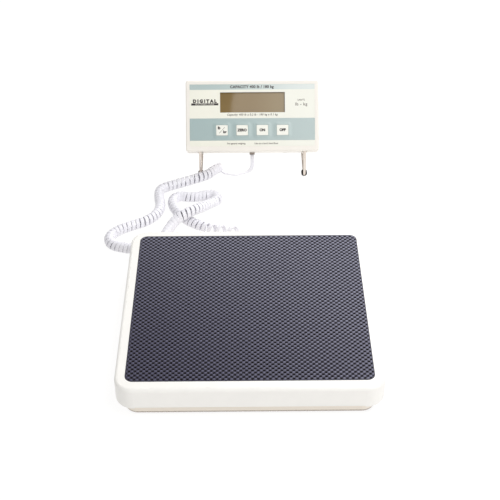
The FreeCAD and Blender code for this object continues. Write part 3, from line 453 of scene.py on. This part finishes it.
def wound_cable():
    """Path of the cable through the whole coil, the way its width lies, and its width."""
    line = spline_points("coil_route", to_world([place for place, _ in ROUTE]))
    along = distance_along(line)
    share = np.linspace(0, len(ROUTE) - 1, len(line))
    spacing = np.interp(share, range(len(ROUTE)), [s for _, s in ROUTE])
    starts = along[np.argmax(spacing > FLAT)]
    tangents = unit(np.gradient(line, axis=0))
    sides = carried_side(tangents, Z)
    bending = smoothed(np.gradient(tangents, axis=0) / np.gradient(along)[:, None], BEND_SPREAD)

    where, phase, places, phases, winds = 0.0, 0.0, [], [], []
    while where < along[-1]:
        inside = min(1.0, max(0.0, (where - starts) / WINDING_REACH))
        wind = WIND_RADIUS * inside * inside * (3 - 2 * inside)
        turn = FLAT_TURN
        if where >= starts:
            turn = max(np.interp(where, along, spacing), CABLE_WIDTH)
        places.append(where)
        phases.append(phase)
        winds.append(wind)
        step = min(turn / STEPS_PER_TURN, LONGEST_STEP)
        where += step
        phase += 2 * math.pi * step / turn
    places, phases, winds = (np.array(v) for v in (places, phases, winds))

    centre = at(line, along, places)
    forward = unit(at(tangents, along, places))
    side = unit(at(sides, along, places))
    other = np.cross(forward, side)
    bend = at(bending, along, places)
    # The last turn is brought round so that the cable leaves the coil at its underside.
    target = math.atan2(np.dot(-Z, other[-1]), np.dot(-Z, side[-1]))
    turns = phases[-1]
    wanted = turns + ((-target - turns + math.pi) % (2 * math.pi) - math.pi)
    phases = phases * wanted / turns
    outward = side * np.cos(-phases)[:, None] + other * np.sin(-phases)[:, None]
    path = centre + outward * winds[:, None]
    crowd = 1 - winds * np.sum(outward * bend, axis=1)
    local = np.interp(places, along, np.maximum(spacing, CABLE_WIDTH)) * crowd
    wound_width = np.clip(TURN_FILL * local, NARROWEST, CABLE_WIDTH)
    widths = np.where(winds > WOUND_FROM, wound_width, CABLE_WIDTH)
    flow = unit(np.gradient(path, axis=0))
    return path, np.cross(outward, flow), widths, forward[-1]


# Where the display's plug ends, how far the lead runs straight from it, and from the coil's end.
PLUG_X, PLUG_MOUTH_Z, PLUG_OUT = -0.6, -3.25, -20.5
STRAIGHT_OUT, TAKE_OFF = 6.75, 9.0
LEAD_SLACK = [(7.5, 359.5, 14), (3, 359.5, 6), (-8, 355.6, 4), (-20, 351.2, 4), (-30, 353.5, 4.4)]
LEAD_RINGS = 90


def face_point(x, z, out):
    """Point of the display's own frame in world millimetres: x across, z up the face, out of the face."""
    cos, sin = math.cos(LEAN), math.sin(LEAN)
    return np.array([DISPLAY_AT[0] + x, DISPLAY_AT[1] - out * cos + z * sin,
                     DISPLAY_AT[2] + out * sin + z * cos])


def make_coil(path, width_way, widths):
    coil = piece("curly_cable", cable_mesh("curly_cable", path, width_way, widths), "cord_jacket", "base")
    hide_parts("curly_cord", "base_lead")


def make_lead(coil_path, coil_way):
    """Flat lead from the display's plug down to the underside of the coil's end."""
    end, arrive = coil_path[-1], unit(coil_path[-1] - coil_path[-2])
    plug = face_point(PLUG_X, PLUG_MOUTH_Z, PLUG_OUT)
    below = face_point(PLUG_X, PLUG_MOUTH_Z - STRAIGHT_OUT, PLUG_OUT)
    line = spline_points("lead_route", [plug, below, *to_world(LEAD_SLACK), end + arrive * TAKE_OFF, end])
    places = np.linspace(0, distance_along(line)[-1], LEAD_RINGS)
    path = at(line, distance_along(line), places)
    edge_on = np.array([0, math.cos(LEAN), -math.sin(LEAN)])
    stations = {0.0: X, 0.22: X, 0.55: edge_on, 0.8: edge_on, 1.0: coil_way}
    ways = unit(at(np.array(list(stations.values())), np.array(list(stations)), places / places[-1]))
    mesh = cable_mesh("display_cable", path, ways, np.full(len(path), CABLE_WIDTH))
    lead = piece("display_cable", mesh, "cord_jacket", None)
    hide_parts("display_lead")
    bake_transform(lead)


def make_cords():
    path, width_way, widths, last_way = wound_cable()
    make_coil(path, width_way, widths)
    make_lead(path, last_way)


make_cords()


# ---------------------------------------------------------------- studded mat

MAT_WIDTH, MAT_DEPTH, MAT_CORNER, MAT_Y, MAT_BOTTOM, MAT_TOP = 293.0, 276.5, 9.8, 1.2, 48.55, 51.0
STUD_PITCH_X, STUD_PITCH_Y, STUD_START_X, STUD_START_Y = 6.91, 6.825, 0.352, -2.342
PIT_DEPTH, PIT_SHARPNESS, MAT_EDGE = 2.1, 1.5, 1.0
BORDER, BORDER_FADE, BORDER_DROP, EDGE_ROUND = 0.8, 1.6, 0.7, 0.6
TREAD_STEP = 0.78
TREAD_EDGE = (0, 0.06, 0.15, 0.3, 0.5, 0.75, 1.1, 1.6)
CORNER_ROWS = 24


def outline_distance(x, y, width, depth, corner):
    """How far a point is inside a rounded rectangle."""
    dx = np.abs(x) - width / 2 + corner
    dy = np.abs(y) - depth / 2 + corner
    outside = np.hypot(np.maximum(dx, 0), np.maximum(dy, 0))
    return corner - outside - np.minimum(np.maximum(dx, dy), 0)


def tread_height(x, y):
    """Domed studs with a pit between every four, and a plain low border."""
    studs = (np.cos(2 * np.pi * x / STUD_PITCH_X + STUD_START_X)
             * np.cos(2 * np.pi * y / STUD_PITCH_Y + STUD_START_Y))
    pit = ((1 - studs) / 2) ** PIT_SHARPNESS
    inside = outline_distance(x, y - MAT_Y, MAT_WIDTH, MAT_DEPTH, MAT_CORNER)
    edge = np.clip(inside / MAT_EDGE, 0, 1)
    fade = np.clip((inside - BORDER) / BORDER_FADE, 0, 1)
    rounding = EDGE_ROUND * (1 - np.sqrt(1 - (1 - edge) ** 2))
    return MAT_TOP - PIT_DEPTH * pit * fade - rounding - BORDER_DROP * (1 - fade)


def graded(half, fine, step):
    """Positions from -half to half, a step apart but closer together at both ends.

    fine holds the distances from each end of the positions there.
    """
    middle = half - fine[-1]
    count = int(round(2 * middle / step))
    inner = np.linspace(-middle, middle, count + 1)
    return np.concatenate([[-half + f for f in fine[:-1]], inner, [half - f for f in fine[-2::-1]]])


def tread_top():
    """Grid of points on the mat's top whose rows are as long as the mat is wide there."""
    columns = graded(MAT_WIDTH / 2, TREAD_EDGE, TREAD_STEP)
    turns = [math.radians(90 * k / CORNER_ROWS) for k in range(CORNER_ROWS)]
    arc = [MAT_CORNER * (1 - math.cos(turn)) for turn in turns] + [MAT_CORNER]
    rows = graded(MAT_DEPTH / 2, arc, TREAD_STEP)
    beyond = np.maximum(np.abs(rows) - MAT_DEPTH / 2 + MAT_CORNER, 0)
    half = MAT_WIDTH / 2 - MAT_CORNER + np.sqrt(np.maximum(MAT_CORNER ** 2 - beyond ** 2, 0))
    x = columns[None, :] / columns[-1] * half[:, None]
    y = np.repeat(rows[:, None], len(columns), axis=1) + MAT_Y
    return np.stack([x, y, tread_height(x, y)], axis=2)


def grid_faces(index):
    """One face for each cell of a grid of point numbers."""
    corners = [index[:-1, :-1], index[:-1, 1:], index[1:, 1:], index[1:, :-1]]
    return np.stack(corners, axis=2).reshape(-1, 4).tolist()


def make_tread():
    top = tread_top()
    high, wide = top.shape[:2]
    index = np.arange(high * wide).reshape(high, wide)
    rim = [*index[0], *index[1:, -1], *index[-1, -2::-1], *index[-2:0:-1, 0]]
    rim = [int(i) for i in rim]
    points = top.reshape(-1, 3)
    low = points[rim].copy()
    low[:, 2] = MAT_BOTTOM
    base, count = len(points), len(rim)
    points = np.concatenate([points, low, [[0, MAT_Y, MAT_BOTTOM]]])
    walls, floor = [], []
    for i in range(count):
        after = (i + 1) % count
        walls.append((rim[i], base + i, base + after, rim[after]))
        floor.append((base + i, base + count, base + after))
    mesh = closed_mesh("tread_surface", to_world(points), grid_faces(index) + walls + floor)
    tread = piece("tread_surface", mesh, "mat_rubber", "deck")
    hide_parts("tread_mat")


make_tread()


# ---------------------------------------------------------------- print and keypad on the display

FACE = (Matrix.Translation(Vector(DISPLAY_AT) * MM) @ Matrix.Rotation(-LEAN, 4, "X")
        @ Matrix.Rotation(math.radians(90), 4, "X"))
FILM_OUT = -0.05
INK_GAUGE, BAND_GAUGE = 0.04, 0.08
ON_BAND = FILM_OUT + BAND_GAUGE
KEY_SPOTS = {"unit_key": -46.1, "zero_key": -15.5, "on_key": 15.1, "off_key": 45.7}
KEY_Z, KEY_OUT, KEY_WIDTH, KEY_HEIGHT = 32.0, 1.8, 17.6, 15.6
BAND_WIDTH, BAND_Z = 189.4, (16.7, 50.2)
TOP_BAND_Z = (93.7, 101.7)
TOP_BAND_MIDDLE = sum(TOP_BAND_Z) / 2
KIND_X, UNITS_X, NOTES_Z = -71.9, 74.2, 11.9


def rounded_outline(width, height, corner, x=0.0, y=0.0, steps=6):
    points = []
    for quarter, (sx, sy) in enumerate(((1, 1), (-1, 1), (-1, -1), (1, -1))):
        for step in range(steps + 1):
            angle = math.radians(90 * (quarter + step / steps))
            points.append((x + sx * (width / 2 - corner) + corner * math.cos(angle),
                           y + sy * (height / 2 - corner) + corner * math.sin(angle)))
    return points


def on_face(mesh, out):
    mesh.transform(FACE @ Matrix.Translation((0, 0, out * MM)))
    return mesh


def flat_print(name, outlines, out, gauge, material, body="display"):
    """Thin printed area with the given outlines, holes among them."""
    curve = bpy.data.curves.new(name, "CURVE")
    curve.dimensions, curve.fill_mode, curve.extrude = "2D", "BOTH", gauge / 2 * MM
    for outline in outlines:
        spline = curve.splines.new("POLY")
        spline.points.add(len(outline) - 1)
        for point, (x, y) in zip(spline.points, outline):
            point.co = (x * MM, y * MM, 0, 1)
        spline.use_cyclic_u = True
    holder = bpy.data.objects.new(name, curve)
    mesh = on_face(bpy.data.meshes.new_from_object(holder), out + gauge / 2)
    bpy.data.objects.remove(holder)
    return piece(name, mesh, material, body, smooth=False)


def lettering(name, text, x, z, height, out=FILM_OUT, material="grey_print", body="display", bold=0.0,
              shear=0.0, spacing=1.0):
    """Printed words centred at x, z on the display's face."""
    curve = bpy.data.curves.new(name, "FONT")
    curve.body, curve.align_x, curve.align_y = text, "CENTER", "CENTER"
    curve.size, curve.extrude = height * MM, INK_GAUGE / 2 * MM
    curve.offset, curve.shear, curve.space_character = bold * MM, shear, spacing
    curve.resolution_u = 4
    holder = bpy.data.objects.new(name, curve)
    mesh = bpy.data.meshes.new_from_object(holder)
    bpy.data.objects.remove(holder)
    mesh.transform(Matrix.Translation((x * MM, z * MM, 0)))
    return piece(name, on_face(mesh, out + INK_GAUGE / 2), material, body, smooth=False)


KEY_GAP = 0.12
PILLOW_RISE, PILLOW_REACH, PILLOW_CORNER, PILLOW_GAUGE = 1.0, 6.0, 1.2, 0.12
PILLOW_STEP = 0.7


def lines_through(start, end, marks):
    """Grid lines from start to end, with one on each mark."""
    stops = [start, *marks, end]
    cut = []
    for a, b in zip(stops, stops[1:]):
        parts = max(1, int(round((b - a) / PILLOW_STEP)))
        cut.append(np.linspace(a, b, parts + 1)[:-1])
    return np.concatenate([*cut, [end]])


def pillow_lift(x, z, half_x, half_z):
    """How far the band stands up: most at the keys' openings, nothing further out."""
    lift = np.zeros_like(x)
    for spot in KEY_SPOTS.values():
        away = -outline_distance(x - spot, z - KEY_Z, 2 * half_x, 2 * half_z, PILLOW_CORNER)
        share = np.clip(1 - away / PILLOW_REACH, 0, 1)
        lift = np.maximum(lift, PILLOW_RISE * share * share * (3 - 2 * share))
    return lift


def keypad_band():
    """Embossed blue-grey band, raised in a soft pillow round each key's opening."""
    half_x, half_z = KEY_WIDTH / 2 + KEY_GAP, KEY_HEIGHT / 2 + KEY_GAP
    edges_x = [spot + side * half_x for spot in KEY_SPOTS.values() for side in (-1, 1)]
    xs = lines_through(-BAND_WIDTH / 2, BAND_WIDTH / 2, edges_x)
    zs = lines_through(*BAND_Z, [KEY_Z - half_z, KEY_Z + half_z])
    x, z = np.meshgrid(xs, zs)
    top = np.stack([x, z, pillow_lift(x, z, half_x, half_z) + PILLOW_GAUGE], axis=2).reshape(-1, 3)
    bottom = np.stack([x, z, np.zeros_like(x)], axis=2).reshape(-1, 3)

    count = x.size
    faces, border = [], set()
    for corners in grid_faces(np.arange(count).reshape(x.shape)):
        centre_x, centre_z, _ = top[corners].mean(axis=0)
        beside_key = any(abs(centre_x - spot) < half_x for spot in KEY_SPOTS.values())
        if beside_key and abs(centre_z - KEY_Z) < half_z:
            continue
        faces.append(tuple(corners))
        faces.append(tuple(c + count for c in reversed(corners)))
        border.update(zip(corners, corners[1:] + corners[:1]))
    walls = [(b, a, a + count, b + count) for a, b in sorted(border) if (b, a) not in border]
    mesh = closed_mesh("keypad_band", np.concatenate([top, bottom]), faces + walls)
    work = bmesh.new()
    work.from_mesh(mesh)
    bmesh.ops.delete(work, geom=[v for v in work.verts if not v.link_faces], context="VERTS")
    work.to_mesh(mesh)
    work.free()
    piece("keypad_band", on_face(mesh, FILM_OUT), "band_print", "display")


def make_face():
    keypad_band()
    low, high = TOP_BAND_Z
    top_band = rounded_outline(BAND_WIDTH, high - low, 0.5, 0, TOP_BAND_MIDDLE)
    flat_print("capacity_band", [top_band], FILM_OUT, BAND_GAUGE, "top_band_print")
    lettering("capacity_words", "CAPACITY 400 lb / 180 kg", -0.4, TOP_BAND_MIDDLE, 5.7, ON_BAND,
              "dark_print", bold=0.2, spacing=1.05)
    lettering("graduation_words", "Capacity: 400 lb x 0.2 lb - 180 kg x 0.1 kg", -0.2, 55.6, 4.3,
              bold=0.1, shear=0.2, spacing=1.05)
    lettering("kind_words_top", "DIGITAL", KIND_X, 76.2, 6.6, FILM_OUT, "dark_print", bold=0.5,
              spacing=1.55)
    flat_print("kind_bar", [rounded_outline(41.0, 3.2, 0.2, KIND_X, 71.6)], FILM_OUT, INK_GAUGE,
               "dark_print")
    lettering("kind_words_bottom", "PLATFORM SCALE", KIND_X, 71.6, 3.0, ON_BAND, "printed_film",
              spacing=1.2)
    lettering("unit_words_top", "UNITS", UNITS_X, 77.4, 3.6, bold=0.08, spacing=1.1)
    lettering("unit_words_bottom", "lb - kg", UNITS_X, 71.0, 6.2, bold=0.12, spacing=1.15)
    # Painted shadow: thin grey strips along the window's top and right edges, where a recess would be in
    # shade.
    left, inner, right = -48.7, 48.95, 49.5
    bottom, under, top = 59.0, 89.0, 89.6
    recess_shadow = [[(left, under), (left, top), (right, top), (right, under)],
            [(inner, bottom), (inner, under), (right, under), (right, bottom)]]
    flat_print("window_recess_shadow", recess_shadow, FILM_OUT, INK_GAUGE, "grey_print")
    lettering("note_words_left", "For general weighing", -24.6, NOTES_Z, 3.3, bold=0.1)
    lettering("note_words_right", "Use on a hard, level floor", 21.0, NOTES_Z, 3.5, bold=0.1)


def make_key_words():
    key_print = {"height": 5.3, "out": KEY_OUT, "material": "dark_print"}
    for name, word in (("zero_key", "ZERO"), ("on_key", "ON"), ("off_key", "OFF")):
        lettering(f"{word.lower()}_words", word, KEY_SPOTS[name], KEY_Z, body=name, bold=0.36, **key_print)
    unit_x = KEY_SPOTS["unit_key"]
    lettering("lb_words", "lb", unit_x - 4.3, KEY_Z + 3.4, body="unit_key", bold=0.32, **key_print)
    lettering("kg_words", "kg", unit_x + 4.2, KEY_Z - 2.6, body="unit_key", bold=0.32, **key_print)
    slash = [(-4.6, -4.6), (-4.2, -4.9), (4.6, 4.6), (4.2, 4.9)]
    flat_print("unit_slash", [[(unit_x + x, KEY_Z + z) for x, z in slash]], KEY_OUT, INK_GAUGE,
               "grey_print", "unit_key")


make_face()
make_key_words()
